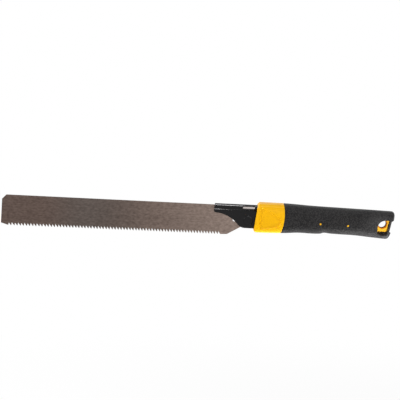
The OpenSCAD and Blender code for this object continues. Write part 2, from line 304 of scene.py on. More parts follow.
corner = FLOOR_HALF * np.array([[-1, -1], [1, -1], [1, 1], [-1, 1]])
floor_points = np.column_stack([corner, np.full(4, -FLOOR_DROP)])
floor_mesh = bpy.data.meshes.new("floor")
floor_mesh.from_pydata(to_frame(floor_points).tolist(), [], [[0, 1, 2, 3]])
floor = bpy.data.objects.new("floor", floor_mesh)
scene.collection.objects.link(floor)
floor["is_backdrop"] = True

floor_finish, shader, place = new_finish("pale_floor")
fill(shader, place, {"Base Color": FLOOR_GREY, "Roughness": FLOOR_ROUGH})
matte = Wire(place.tree, shader.outputs[0])
glow = place.node("ShaderNodeEmission", inputs={"Color": WHITE, "Strength": 1.0})
reach = place.node("ShaderNodeVectorMath", {"operation": "LENGTH"}, {0: place}, output=1)
share = FLOOR_GLOW + (1 - FLOOR_GLOW) * reach.between(FADE_FROM, FADE_TO)
seen = seen_directly(place) * share
floor_mix = place.node("ShaderNodeMixShader", inputs={0: seen, 1: matte, 2: glow})
place.put(place.tree.nodes["Material Output"].inputs["Surface"], floor_mix)
floor_mesh.materials.append(floor_finish)
print("floor at", to_frame(floor_points)[0, 2].round(3), "m")

# %% [markdown]
# ## Grids into meshes
# Every new piece below is an array of points on a grid, or a few such arrays. The helper joins them
# into one object, welds the points that meet, and shades it smooth except at real edges. That keeps
# the formula of each shape in sight, which modelling by hand would not.

# %% Mesh helpers
WELD = 2e-6
SHARP_ANGLE = np.radians(38.0)


def grid_faces(rows, columns, wrap_rows, wrap_columns):
    """Four-cornered faces between neighbours on a grid, also across the ends where it wraps."""
    i = np.arange(rows if wrap_rows else rows - 1)[:, None]
    j = np.arange(columns if wrap_columns else columns - 1)[None, :]
    below, beside = (i + 1) % rows, (j + 1) % columns
    corners = [i * columns + j, below * columns + j, below * columns + beside, i * columns + beside]
    return np.stack(np.broadcast_arrays(*corners), -1).reshape(-1, 4)


def surface(points, wrap_rows=False, wrap_columns=True, keep=None):
    """Points (rows, columns, 3) as a flat list with its faces; keep says which cells have one."""
    rows, columns = points.shape[:2]
    faces = grid_faces(rows, columns, wrap_rows, wrap_columns)
    if keep is not None:
        faces = faces[keep.reshape(-1)]
    return points.reshape(-1, 3), faces


def add_piece(name, parts, closed=True):
    """One object from several surfaces, welded and without unused points. Faces of closed shapes are
    turned outwards; an open sheet keeps its grid's side."""
    counts = np.cumsum([0] + [len(points) for points, _ in parts])
    points = to_frame(np.concatenate([p for p, _ in parts]))
    faces = np.concatenate([f + start for (_, f), start in zip(parts, counts)])
    mesh = bpy.data.meshes.new(name)
    mesh.from_pydata(points.tolist(), [], faces.tolist())
    shape = bmesh.new()
    shape.from_mesh(mesh)
    bmesh.ops.remove_doubles(shape, verts=shape.verts, dist=WELD)
    bmesh.ops.dissolve_degenerate(shape, edges=shape.edges, dist=WELD)
    unused = [point for point in shape.verts if not point.link_faces]
    bmesh.ops.delete(shape, geom=unused, context="VERTS")
    if closed:
        bmesh.ops.recalc_face_normals(shape, faces=shape.faces)
    shape.to_mesh(mesh)
    shape.free()
    mesh.shade_smooth()
    mesh.set_sharp_from_angle(angle=SHARP_ANGLE)
    piece = bpy.data.objects.new(name, mesh)
    scene.collection.objects.link(piece)
    print(name, "has", len(mesh.polygons), "faces")
    return piece


def finish_piece(piece, body, node, material):
    """Says what the piece rides on, stands for and is made of."""
    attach(piece, body)
    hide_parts(node)
    piece.data.materials.append(material)
    print(piece.name, "is made of", material.name)


def refinish(node, material):
    """Puts a better material on a CAD node that stays as it is."""
    for material_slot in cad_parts[node].material_slots:
        material_slot.material = material
    print(node, "is made of", material.name)


print("weld within", WELD, "m")

# %% [markdown]
# ## The handle's skin
# Collar and grip share one moulded skin. Each section across the handle is a superellipse, between an
# ellipse and a rounded box, and it leans back as it rises. Its half width, top and underside change
# along the handle by smooth curves through a few measured shares. A box with a Subdivision modifier
# could come close, but the step for the index finger would wash out.

# %% Skin formula
HANDLE_LEN, HALF_H, HALF_W = 135.45, 14.45, 12.0
FRONT_X, HANDLE_Z = 6.95, 3.7
FRONT_LEAN, BUTT_LEAN = 0.123, 0.173
LOW_SHARES = [
    [0, 1], [0.226, 0.962], [0.324, 0.907], [0.43, 0.927], [0.485, 0.907], [0.512, 0.83],
    [0.56, 0.865], [0.626, 0.886], [0.734, 0.907], [0.851, 0.99], [0.946, 1.052], [1, 1.075],
]
TOP_SHARES = [[0, 1], [0.22, 0.995], [0.41, 0.935], [0.61, 0.895], [0.83, 0.86], [1, 0.83]]
WIDE_SHARES = [[0, 1], [0.22, 1], [0.33, 0.96], [0.63, 1.12], [0.9, 0.95], [1, 0.92]]
SQUARE_POWERS = [[0, 5], [0.22, 4.2], [0.4, 3], [0.9, 2.6], [1, 2.8]]
CAP_W_SHARE, CAP_H_SHARE = 0.073, 0.037
CAP_W_POWER, CAP_H_POWER = 2.0, 3.0
TINY = 1e-9


def curve(table, s):
    """Cubic Hermite curve through the table's rows. Each slope is that of the chord between the two
    neighbours, and the ends are level."""
    x, y = np.array(table, float).T
    slope = np.zeros_like(y)
    slope[1:-1] = (y[2:] - y[:-2]) / (x[2:] - x[:-2])
    i = np.clip(np.searchsorted(x, s, side="right") - 1, 0, len(x) - 2)
    h = x[i + 1] - x[i]
    u = (s - x[i]) / h
    v = 1 - u
    rise = v * v * (1 + 2 * u) * y[i] + u * u * (3 - 2 * u) * y[i + 1]
    return rise + u * v * h * (v * slope[i] - u * slope[i + 1])


def cap(s, share, power):
    """Closing of the butt: 1 at first, then the quarter of a superellipse down to nothing."""
    u = np.clip((s - 1 + share) / share, 0, 1)
    return (1 - u**power) ** (1 / power)


def lean_at(s):
    """How far the section at share s leans back for each millimetre up."""
    return FRONT_LEAN + (BUTT_LEAN - FRONT_LEAN) * s


def skin_sizes(s, up):
    """Half width, half height on that side, and squareness of the section at share s."""
    width = HALF_W * curve(WIDE_SHARES, s) * cap(s, CAP_W_SHARE, CAP_W_POWER)
    shares = np.where(up > 0, curve(TOP_SHARES, s), curve(LOW_SHARES, s))
    height = HALF_H * shares * cap(s, CAP_H_SHARE, CAP_H_POWER)
    return width, height, curve(SQUARE_POWERS, s)


def skin(s, q, side, inset=0.0):
    """Point of the skin at share s of the length and share q of the height, on the side -1 or 1:
    y = side * width * (1 - |q| ** n) ** (1 / n), z = q * height, and x leans back with z."""
    s, q, side, inset = np.broadcast_arrays(s, q, side, inset)
    width, height, power = skin_sizes(s, q)
    z = q * (height - inset)
    y = side * (width - inset) * np.clip(1 - np.abs(q) ** power, 0, 1) ** (1 / power)
    return np.stack([FRONT_X + HANDLE_LEN * s + lean_at(s) * z, y, HANDLE_Z + z], -1)


def skin_depth(x, z):
    """Half width of the skin at x and z: the share s comes from x by undoing the lean, and then the
    superellipse gives y."""
    up = z - HANDLE_Z
    s = (x - FRONT_X - FRONT_LEAN * up) / (HANDLE_LEN + (BUTT_LEAN - FRONT_LEAN) * up)
    width, height, power = skin_sizes(s, up)
    q = np.clip(np.abs(up) / np.maximum(height, TINY), 0, 1)
    return width * (1 - q**power) ** (1 / power)


def ring_rows(count, extra=()):
    """Heights q and sides for one closed turn round a section: up the near side and down the far
    side, close together at top and bottom, with extra heights where an edge needs them."""
    q = np.sin(np.linspace(-np.pi / 2, np.pi / 2, count))
    q = np.unique(np.concatenate([q, extra]))
    turn = np.concatenate([q, q[-2:0:-1]])
    side = np.concatenate([-np.ones(len(q)), np.ones(len(q) - 2)])
    return turn, side


print("collar is", 2 * HALF_H, "mm high and", 2 * HALF_W, "mm wide")

# %% [markdown]
# ## The joint between collar and grip
# The yellow collar ends in a shallow arc, and the rubber is moulded up to it. For each row of the
# grid, a few corrections find the share of the length at which the skin meets that arc: each moves
# the share by the distance that is still missing.

# %% Arc
COLLAR_X, COLLAR_R, ARC_RISE = 35.3, 52.0, 0.3
COLLAR_Z = HANDLE_Z + ARC_RISE * HALF_H
CORRECTIONS = 12


def arc_share(q, side):
    """Share s at which the skin's row q crosses the collar's rear arc, by repeated correction."""
    s = np.full(q.shape, (COLLAR_X - FRONT_X) / HANDLE_LEN)
    for _ in range(CORRECTIONS):
        x, _, z = np.moveaxis(skin(s, q, side), -1, 0)
        arc_x = COLLAR_X - COLLAR_R + np.sqrt(COLLAR_R**2 - (z - COLLAR_Z) ** 2)
        s = s + (arc_x - x) / HANDLE_LEN
    return s


print("arc radius:", COLLAR_R, "mm")

# %% [markdown]
# ## Outlines
# The panel in the collar and the window in the rubber are flat outlines with rounded corners. Seen
# from a point inside, such an outline is one distance for each direction, so any ring of directions
# can be laid on it. That makes it easy to fill the space between two outlines with rings of faces.

# %% Outline helpers
CORNER_POINTS, EDGE_POINTS = 14, 40


def root(square):
    """Square root, with what lies below 0 taken as 0."""
    return np.sqrt(np.clip(square, 0, None))


def eased(u):
    """0 below 0, 1 above 1, and the smooth rise u * u * (3 - 2 * u) between."""
    u = np.clip(u, 0, 1)
    return u * u * (3 - 2 * u)


def ways(angles):
    """Vectors of length 1 in these directions."""
    return np.stack([np.cos(angles), np.sin(angles)], -1)


def unit(vectors):
    """The rows, each scaled to length 1."""
    return vectors / np.linalg.norm(vectors, axis=1, keepdims=True)


def rounded(corners, radii):
    """Closed outline through the corners, each replaced by an arc of its radius that touches both
    edges: the arc's centre lies on the corner's bisector."""
    corners, radii = np.array(corners, float), np.array(radii, float)[:, None]
    back = unit(np.roll(corners, 1, 0) - corners)
    ahead = unit(np.roll(corners, -1, 0) - corners)
    half = np.arccos(np.clip((back * ahead).sum(1, keepdims=True), -1, 1)) / 2
    centre = corners + unit(back + ahead) * radii / np.sin(half)
    first, last = corners + back * radii / np.tan(half), corners + ahead * radii / np.tan(half)
    start = np.arctan2(*(first - centre).T[::-1])
    turn = np.arctan2(*(last - centre).T[::-1]) - start
    turn = (turn + np.pi) % (2 * np.pi) - np.pi
    angle = start[:, None] + turn[:, None] * np.linspace(0, 1, CORNER_POINTS)
    return (centre[:, None] + radii[:, None] * ways(angle)).reshape(-1, 2)


def laid_on(outline, centre, angles):
    """Points of the outline in these directions from the centre: many points along its edges are read
    as distance against direction."""
    closed = np.concatenate([outline, outline[:1]])
    share = np.linspace(0, 1, EDGE_POINTS)[:-1, None, None]
    dense = closed[:-1] * (1 - share) + closed[1:] * share
    dense = dense.transpose(1, 0, 2).reshape(-1, 2) - centre
    direction = np.arctan2(dense[:, 1], dense[:, 0])
    order = np.argsort(direction)
    distance = np.linalg.norm(dense, axis=1)[order]
    distance = np.interp(angles, direction[order], distance, period=2 * np.pi)
    return centre + distance[:, None] * ways(angles)


def outline_distance(x, z, outline):
    """Distance from points to the nearest edge of a convex outline, below 0 for the points that lie
    on the inner side of every edge."""
    a, b = outline, np.roll(outline, -1, 0)
    edge = b - a
    size = np.maximum((edge**2).sum(1), TINY)
    dx, dz = x[..., None] - a[:, 0], z[..., None] - a[:, 1]
    along = np.clip((dx * edge[:, 0] + dz * edge[:, 1]) / size, 0, 1)
    gap = np.hypot(dx - along * edge[:, 0], dz - along * edge[:, 1]).min(-1)
    inward = outline.mean(0) - a
    turn = np.sign(edge[:, 0] * inward[:, 1] - edge[:, 1] * inward[:, 0])
    inside = ((edge[:, 0] * dz - edge[:, 1] * dx) * turn >= 0).all(-1)
    return np.where(inside, -gap, gap)


def grown(outline, by):
    """The outline moved outwards: every corner shifts along the mean of its two edges' normals."""
    edge = np.roll(outline, -1, 0) - np.roll(outline, 1, 0)
    normal = unit(np.stack([edge[:, 1], -edge[:, 0]], -1))
    if ((outline - outline.mean(0)) * normal).sum() < 0:
        normal = -normal
    return outline + by * normal


print("corner points:", CORNER_POINTS)

# %% [markdown]
# ## The yellow collar
# The collar is the front of the handle's hard core: a hollow mouth round the holder, a rounded front
# edge, a smooth side with a shallow panel that is left bare, and a rear edge against the rubber. Its
# sections follow a profile of depth and inset, from the floor of the mouth out over the rim and back
# along the side. The panel is pressed in by moving points inwards where they lie inside its outline.

# %% Collar
MOUTH_DEPTH, MOUTH_WALL = 4.0, 2.3
RIM = np.array(
    [[MOUTH_DEPTH, MOUTH_WALL], [0.9, MOUTH_WALL], [0.45, MOUTH_WALL], [0.15, 2.2], [0.0, 1.98],
     [0.06, 1.72], [0.3, 1.35], [0.7, 0.92], [1.1, 0.55], [1.5, 0.25], [1.85, 0.08], [2.25, 0.0]]
)
PANEL_SHARES = [[0.208, 0.588, 0.14], [0.7, -0.166, 0.37], [0.262, -0.554, 0.14]]
PANEL_FLOOR, PANEL_SLOPE, PANEL_POINTS = HALF_W - 1.15, 0.5, 120
SEAM_GAP, SEAM_ROUND, SEAM_DEPTH = 0.05, 0.35, 1.2
SEAM_SHARES = np.array([0.35, 0.7, 0.9, 1.0])
COLLAR_ROWS, COLLAR_STEPS = 181, 128


def panel_outline():
    """Belt round three discs, given as shares of length, height and radius: in each direction, the
    disc that reaches furthest gives the point."""
    p = np.array(PANEL_SHARES)
    up = HALF_H * p[:, 1]
    length = COLLAR_X - FRONT_X
    centre = np.stack([FRONT_X + length * p[:, 0] + FRONT_LEAN * up, HANDLE_Z + up], -1)
    way = ways(np.linspace(0, 2 * np.pi, PANEL_POINTS, endpoint=False))
    furthest = (way @ centre.T + HALF_H * p[:, 2]).argmax(1)
    return centre[furthest] + HALF_H * p[furthest, 2:3] * way


def seam_inset(past):
    """How far a rounded edge has fallen in, at a distance past where it begins."""
    return SEAM_ROUND - root(SEAM_ROUND**2 - past**2)


def collar_points():
    """Rings of the collar: mouth and rim from the profile, the side in even steps to the arc, and the
    rounded rear edge, which turns in under the rubber."""
    q, side = ring_rows(COLLAR_ROWS)
    front = skin(RIM[:, 0, None] / HANDLE_LEN, q, side, RIM[:, 1, None])
    start, end = RIM[-1, 0] / HANDLE_LEN, arc_share(q, side) - SEAM_GAP / HANDLE_LEN
    along = np.linspace(0, 1, COLLAR_STEPS)[1:, None]
    middle = skin(start + (end - SEAM_ROUND / HANDLE_LEN - start) * along, q, side)
    past = SEAM_ROUND * SEAM_SHARES[:, None]
    edge = skin(end + (past - SEAM_ROUND) / HANDLE_LEN, q, side, seam_inset(past))
    under = skin(end[None], q, side, SEAM_DEPTH)
    return np.concatenate([front[:1] * ON_MIDDLE, front, middle, edge, under, under * ON_MIDDLE])


def pressed(points, outline):
    """Inside the outline the side sinks to a flat floor, over a soft slope along its edge."""
    x, y, z = np.moveaxis(points, -1, 0)
    inside = eased((PANEL_SLOPE - outline_distance(x, z, outline)) / (2 * PANEL_SLOPE))
    sink = np.clip(np.abs(y) - PANEL_FLOOR, 0, None) * inside
    return np.stack([x, y - np.sign(y) * sink, z], -1)


collar = collar_points()
collar[len(RIM) :] = pressed(collar[len(RIM) :], panel_outline())
print("collar grid:", collar.shape[:2])

# %% [markdown]
# ## The eye at the butt
# The core comes to light again in the window at the butt, as a flat eye with the hang hole in it. It
# is a ring: from the plate's edge over the near face, round the rim of the hole, along its wall and
# back over the far face. A Boolean would cut the same hole, but leave long thin faces.

# %% Eye
HANG_R, EYE_HALF, RIM_ROUND = 4.0, 3.3, 0.8
WINDOW_X, WINDOW_LOW, WINDOW_HIGH = 126.05, -4.1, 7.6
WINDOW_BACK, WINDOW_SLANT = 5.75, 0.184
EYE_FRONT, EYE_LOW, EYE_HIGH, EYE_TUCK, EYE_CORNER = 120.4, -6.9, 9.9, 0.77, 1.0
EYE_SPOKES, EYE_RINGS = 144, 6


def window_end(z, extra=0.0):
    """x of the window's slanting back wall at height z, moved back by extra."""
    return HANG[0] + WINDOW_BACK + extra + WINDOW_SLANT * (z - HANG[2])


def eye_points():
    """Rings of the eye: straight lines from the plate's outline to the rim, a quarter of a circle
    into the hole on each side, and the wall between them."""
    back_low, back_high = window_end(EYE_LOW, EYE_TUCK), window_end(EYE_HIGH, EYE_TUCK)
    plate = rounded(
        [[EYE_FRONT, EYE_LOW], [back_low, EYE_LOW], [back_high, EYE_HIGH], [EYE_FRONT, EYE_HIGH]],
        [EYE_CORNER] * 4,
    )
    angle = np.linspace(-np.pi, np.pi, EYE_SPOKES, endpoint=False)
    edge, way = laid_on(plate, HANG_XZ, angle), ways(angle)
    share = np.linspace(0, 1, EYE_RINGS)[:, None, None]
    face = edge * (1 - share) + (HANG_XZ + (HANG_R + RIM_ROUND) * way) * share
    turn = np.linspace(0, np.pi / 2, EYE_RINGS)[1:, None]
    radius = HANG_R + RIM_ROUND * (1 - np.sin(turn))
    xz = np.concatenate([face, HANG_XZ + radius[..., None] * way])
    depth = EYE_HALF - RIM_ROUND * np.concatenate([np.zeros((EYE_RINGS, 1)), 1 - np.cos(turn)])
    near = np.stack([xz[..., 0], np.broadcast_to(-depth, xz.shape[:2]), xz[..., 1]], -1)
    return np.concatenate([near, near[::-1] * MIRRORED])


eye = eye_points()
print("eye grid:", eye.shape[:2])

# %% [markdown]
# ## The pips
# Two small pips of the core show through the rubber on each side. Each is a little turned post, so a
# profile of radius and height is carried once round its own axis.

# %% Pips and core
PIP_R, PIP_PROUD, PIP_LONG = 1.05, 0.05, 2.0
PIP_PROFILE = np.array(
    [[0, 0], [0.65, -0.01], [0.9, -0.03], [PIP_R, -0.14], [PIP_R, -PIP_LONG], [0, -PIP_LONG]]
)
PIP_SHARES = [[0.469, -0.145], [0.664, -0.159]]


def turned(profile, steps=32):
    """A profile of (radius, height) rows turned round the third axis."""
    angle = np.linspace(0, 2 * np.pi, steps, endpoint=False)
    radius, height = profile.T[:, :, None]
    round_x, round_y = radius * np.cos(angle), radius * np.sin(angle)
    return np.stack([round_x, round_y, np.broadcast_to(height, round_x.shape)], -1)


def pip(place, side):
    """One pip on that side: a post with a rounded edge, flush with the rubber."""
    x, z = FRONT_X + HANDLE_LEN * place[0], HANDLE_Z + HALF_H * place[1]
    top = float(skin_depth(np.array(x), np.array(z))) + PIP_PROUD
    post = turned(PIP_PROFILE + [0, top])
    return np.stack([x + post[..., 0], side * post[..., 2], z + post[..., 1]], -1)


core_parts = [surface(collar), surface(eye, wrap_rows=True)]
core_parts += [surface(pip(place, side)) for place in PIP_SHARES for side in (-1, 1)]
core = add_piece("handle_core_moulding", core_parts)

# %% [markdown]
# ## The window in the rubber
# On each side the rubber opens in a window round the hang hole, with a big rounded corner towards the
# grip and a thumb scoop below. Three outlines describe it: at the bottom of the window on the eye's
# face, at the skin with the scoop, and a little wider where the lip begins to round. Rings of faces
# join them to a rectangular gap that is left in the skin's grid.

# %% Window rings
LIP_ROUND, WALL_SINK = 0.6, 0.2
WINDOW_MIDDLE = np.array([131.6, 0.8])
SCOOP_X, SCOOP_START, SCOOP_LOW = 129.6, -5.2, -7.3
WINDOW_TOP = [[window_end(WINDOW_HIGH), WINDOW_HIGH], [WINDOW_X, WINDOW_HIGH]]
DEEP_CORNERS = [[WINDOW_X, WINDOW_LOW], [window_end(WINDOW_LOW), WINDOW_LOW], *WINDOW_TOP]
DEEP_RADII = [0.7, 0.7, 0.8, 7.2]
SCOOP = [[WINDOW_X, SCOOP_START], [SCOOP_X, SCOOP_LOW], [window_end(SCOOP_LOW), SCOOP_LOW]]
OPEN_CORNERS = [*SCOOP, *WINDOW_TOP]
OPEN_RADII = [1.0, 1.6, 1.2, 0.8, 7.2]
FLAT_RINGS, LIP_RINGS, WALL_RINGS = 9, 6, 8


def window_rings(border):
    """Rings from the gap's border, given as x and z, over the skin to the lip, round the lip and down
    the wall to the eye's face. y is measured outwards."""
    spoke = border - WINDOW_MIDDLE
    angles = np.arctan2(spoke[:, 1], spoke[:, 0])
    opening, deep = rounded(OPEN_CORNERS, OPEN_RADII), rounded(DEEP_CORNERS, DEEP_RADII)
    outlines = grown(opening, LIP_ROUND), opening, deep
    lip, inner, foot = (laid_on(outline, WINDOW_MIDDLE, angles) for outline in outlines)
    share = np.linspace(0, 1, FLAT_RINGS)[:, None, None]
    flat = border * (1 - share) + lip * share
    turn = np.linspace(0, np.pi / 2, LIP_RINGS + 1)[1:, None, None]
    bend = lip + (inner - lip) * np.sin(turn)
    down = np.linspace(0, 1, WALL_RINGS + 1)[1:, None, None]
    wall = inner * (1 - down) + foot * down
    flat_y, bend_y, edge_y = (skin_depth(xz[..., 0], xz[..., 1]) for xz in (flat, bend, inner))
    bend_y = bend_y - LIP_ROUND * (1 - np.cos(turn[..., 0]))
    wall_y = (edge_y - LIP_ROUND) * (1 - down[..., 0]) + (EYE_HALF - WALL_SINK) * down[..., 0]
    xz, y = np.concatenate([flat, bend, wall]), np.concatenate([flat_y, bend_y, wall_y])
    return np.stack([xz[..., 0], y, xz[..., 1]], -1)


print("window is", round(WINDOW_HIGH - WINDOW_LOW, 1), "mm high")

# %% [markdown]
# ## The rubber grip
# The grip is the skin from the arc to the butt. Its rows of constant height are closer together
# where the notch across the butt begins and ends, and its columns near the butt. The front edge is
# rounded like the collar's and turns in beside it.

# %% Grip skin
LID_SHARE = 0.978
NOTCH_HIGH, NOTCH_LOW, NOTCH_SHARE = 6.5, -5.0, 0.96
GRIP_ROWS, NOTCH_ROWS, NOTCH_NEAR = 101, 9, 1.2
GRIP_RUN, FINE_FROM, COARSE_STEP, FINE_STEP = 105.0, 86.0, 1.0, 0.5
FRONT_SHARES = np.array([0.0, 0.12, 0.35, 0.65, 1.0])


def notch_rows():
    """Heights q close to the notch's two edges, as shares of the half heights near the butt."""
    near = np.linspace(-NOTCH_NEAR, NOTCH_NEAR, NOTCH_ROWS)
    ups = [NOTCH_HIGH - HANDLE_Z, NOTCH_LOW - HANDLE_Z]
    return np.concatenate([(up + near) / skin_sizes(NOTCH_SHARE, up)[1] for up in ups])


def grip_columns():
    """Shares along a row, from 0 at the arc to 1 at the lid, close together at both ends."""
    coarse = np.arange(COARSE_STEP, FINE_FROM, COARSE_STEP)
    fine = np.arange(FINE_FROM, GRIP_RUN + FINE_STEP / 2, FINE_STEP)
    return np.concatenate([SEAM_ROUND * FRONT_SHARES, coarse, fine]) / GRIP_RUN


def grip_points():
    """Columns of the grip: two that close the front, and then the skin from its rounded edge on."""
    start = arc_share(grip_q, grip_side) + SEAM_GAP / HANDLE_LEN
    s = start + (LID_SHARE - start) * grip_columns()[:, None]
    inset = seam_inset(np.clip(SEAM_ROUND - (s - start) * HANDLE_LEN, 0, None))
    under = skin(start[None], grip_q, grip_side, SEAM_DEPTH)
    return np.concatenate([under * ON_MIDDLE, under, skin(s, grip_q, grip_side, inset)])


grip_q, grip_side = ring_rows(GRIP_ROWS, notch_rows())
rows_a_side = len(grip_q) // 2 + 1
grip = grip_points()
print("grip grid:", grip.shape[:2])

# %% [markdown]
# ## The butt
# The butt is a lid over the last section: for each point of it, halving an interval finds how far
# back the skin reaches there. Everything behind the notch's floor is then drawn forward on to it.

# %% Lid and notch
LID_COLUMNS, HALVINGS = 61, 40
BUTT_WALL, NOTCH_SLOPE, NOTCH_SOFT, NOTCH_REACH = 2.2, 0.45, 0.25, 1.2


def lid_points():
    """Rows of constant height across the last section. At each point, halving finds the share s where
    (|y| / width) ** n + (|up| / height) ** n is 1."""
    rim = skin(LID_SHARE, grip_q[:rows_a_side], -1.0)
    across = np.sin(np.linspace(-np.pi / 2, np.pi / 2, LID_COLUMNS))
    y, z = rim[:, 1:2] * -across, np.broadcast_to(rim[:, 2:3], (rows_a_side, LID_COLUMNS))
    up = z - HANDLE_Z
    low, high = np.full(y.shape, LID_SHARE), np.full(y.shape, 1.0)
    for _ in range(HALVINGS):
        s = (low + high) / 2
        width, height, power = skin_sizes(s, up)
        reach = (np.abs(y) / np.maximum(width, TINY)) ** power
        reach = reach + (np.abs(up) / np.maximum(height, TINY)) ** power
        low, high = np.where(reach < 1, s, low), np.where(reach < 1, high, s)
    x = FRONT_X + HANDLE_LEN * low + lean_at(low) * up
    x[:, [0, -1]] = rim[:, :1]
    x[[0, -1]] = rim[[0, -1], :1]
    return np.stack([x, y, z], -1)


def notched(points):
    """Between the notch's two edges, x is held back to the slanting floor, with a soft corner."""
    x, y, z = np.moveaxis(points, -1, 0)
    under_top = eased((NOTCH_HIGH + NOTCH_SLOPE - z) / (2 * NOTCH_SLOPE))
    over_low = eased((z - NOTCH_LOW + NOTCH_SLOPE) / (2 * NOTCH_SLOPE))
    past = x - window_end(z, BUTT_WALL)
    held = (past + np.sqrt(past**2 + NOTCH_SOFT**2)) / 2
    held = np.where(past > -NOTCH_REACH, held, 0)
    return np.stack([x - under_top * over_low * held, y, z], -1)


lid = lid_points()
print("lid grid:", lid.shape[:2])

# %% [markdown]
# ## The grip in one piece
# A rectangle of cells is left out of the skin on each side, and the window's rings fill it. They run
# in through the near window, through the eye and out of the far one. Skin, rings and lid meet in the
# same points, so welding closes the grip.

# %% Grip piece
GAP_Q, GAP_AT = (-0.87, 0.47), 88.5
FRONT_COLUMNS = 2


def gap_border(points, first, low, high):
    """x and z of the gap's border points, once round: along its bottom row, up the last column, back
    along the top row and down the first column."""
    block = points[first:, low : high + 1]
    loop = [block[:-1, 0], block[-1, :-1], block[:0:-1, -1], block[0, :0:-1]]
    return np.concatenate(loop)[:, [0, 2]]


gap_first = int(np.searchsorted(grip_columns(), GAP_AT / GRIP_RUN)) + FRONT_COLUMNS
gap_low, gap_high = np.searchsorted(grip_q[:rows_a_side], GAP_Q)
cell_column, near_row = np.ogrid[: len(grip) - 1, : len(grip_q)]
far_row = len(grip_q) - 1 - near_row
near_gap, far_gap = ((row >= gap_low) & (row < gap_high) for row in (near_row, far_row))
in_gap = (near_gap | far_gap) & (cell_column >= gap_first)
rings = window_rings(gap_border(grip, gap_first, gap_low, gap_high))
window = np.concatenate([rings * MIRRORED, rings[::-1]])
grip_rubber = add_piece(
    "grip_rubber",
    [
        surface(notched(grip), keep=~in_gap),
        surface(notched(window)),
        surface(notched(lid), wrap_columns=False),
    ],
)

# %% [markdown]
# ## The folded holder
# The holder is one sheet of steel, folded over a rod so that a round bead runs along its back and two
# flat cheeks hang down. The sheet's outside is a grid: one direction runs along the saw, the other up
# the near cheek, round the bead and down the far one. Both have lines exactly on the slot's edges.

# %% Holder grid
SHEET_T, CHEEK_OUT = 1.05, 1.7
BEAD_R, BEAD_Z, BEAD_FROM, FILLET_R = 3.2, 12.5, 230.0, 1.0
NOSE_X, NOSE_Z, NOSE_LEAN, NOSE_ROUND = -33.7, 6.7, 0.6, 2.0
UPPER_R, LOWER_R, CHEEK_LOW = 30.0, 9.7, -7.65
SLOT_TIP, SLOT_LEFT, SLOT_RIGHT, SLOT_SLANT = -6.9, -5.4, 5.8, 0.4
SLOT_MID, SLOT_HALF = 12.8, 1.7
HOLDER_END, LEG_END, LEG_LOW, LEG_HIGH = 14.0, 66.0, -5.07, 9.43
S_TURN = np.arccos(1 - (NOSE_Z - CHEEK_LOW) / (UPPER_R + LOWER_R))
S_MID, S_END = NOSE_X + UPPER_R * np.sin(S_TURN), NOSE_X + (UPPER_R + LOWER_R) * np.sin(S_TURN)
PLAIN_FROM, PLAIN_STEP, TIP_FROM = -31.5, 0.5, -6.3


def cheek_edge(x):
    """Lower edge of the cheek: a rounded corner at the nose, an arc that curves down, an arc that
    curves level again, and a straight run into the handle."""
    nose = NOSE_Z + NOSE_ROUND - root(NOSE_ROUND**2 - (x - NOSE_X + NOSE_LEAN - NOSE_ROUND) ** 2)
    upper = NOSE_Z - UPPER_R + root(UPPER_R**2 - (x - NOSE_X) ** 2)
    lower = CHEEK_LOW + LOWER_R - root(LOWER_R**2 - (x - S_END) ** 2)
    edge = np.where(x < NOSE_X - NOSE_LEAN + NOSE_ROUND, np.maximum(nose, NOSE_Z), upper)
    return np.where(x < S_MID, edge, np.where(x < S_END, lower, CHEEK_LOW))


def bead_turns():
    """Directions round the bead, in degrees, and those of the slot's two long edges."""
    rise = (SLOT_MID + np.array([-SLOT_HALF, SLOT_HALF]) - BEAD_Z) / BEAD_R
    low, high = 180 - np.degrees(np.arcsin(rise))
    runs = [(BEAD_FROM, low, 7), (low, high, 17), (high, 90, 13)]
    near = np.concatenate([[BEAD_FROM], *(np.linspace(*run)[1:] for run in runs)])
    return np.concatenate([near, 180 - near[-2::-1]]), low, high


def holder_columns():
    """Places along the saw: close together round the nose's corner and at the slot's ends."""
    nose = NOSE_X - NOSE_LEAN + NOSE_ROUND * (1 - np.cos(np.linspace(0, np.pi / 2, 13)))
    plain = np.arange(PLAIN_FROM, TIP_FROM, PLAIN_STEP)
    tip = np.linspace(TIP_FROM, SLOT_LEFT, 5)
    slot = np.linspace(SLOT_LEFT, SLOT_RIGHT, 23)[1:]
    rear = np.linspace(SLOT_RIGHT, HOLDER_END, 18)[1:]
    return np.concatenate([nose, plain, tip, slot, rear])


columns_x = holder_columns()
turns, slot_low, slot_high = bead_turns()
print("columns:", len(columns_x), "rows round the bead:", len(turns))

# %% [markdown]
# ## The sheet in space
# Every column of the grid is one section through the sheet. The real ends aren't straight across:
# the nose leans, and the slot has a pointed front and a slanting rear end. So points near those ends
# move along the saw, less and less with the distance.

# %% Holder sheet
CHEEK_ROWS, FOLD_ROWS = 24, 6
NOSE_FADE, TIP_FADE_FROM, SLOT_FADE, SLACK = 6.0, -15.0, 4.0, 0.001


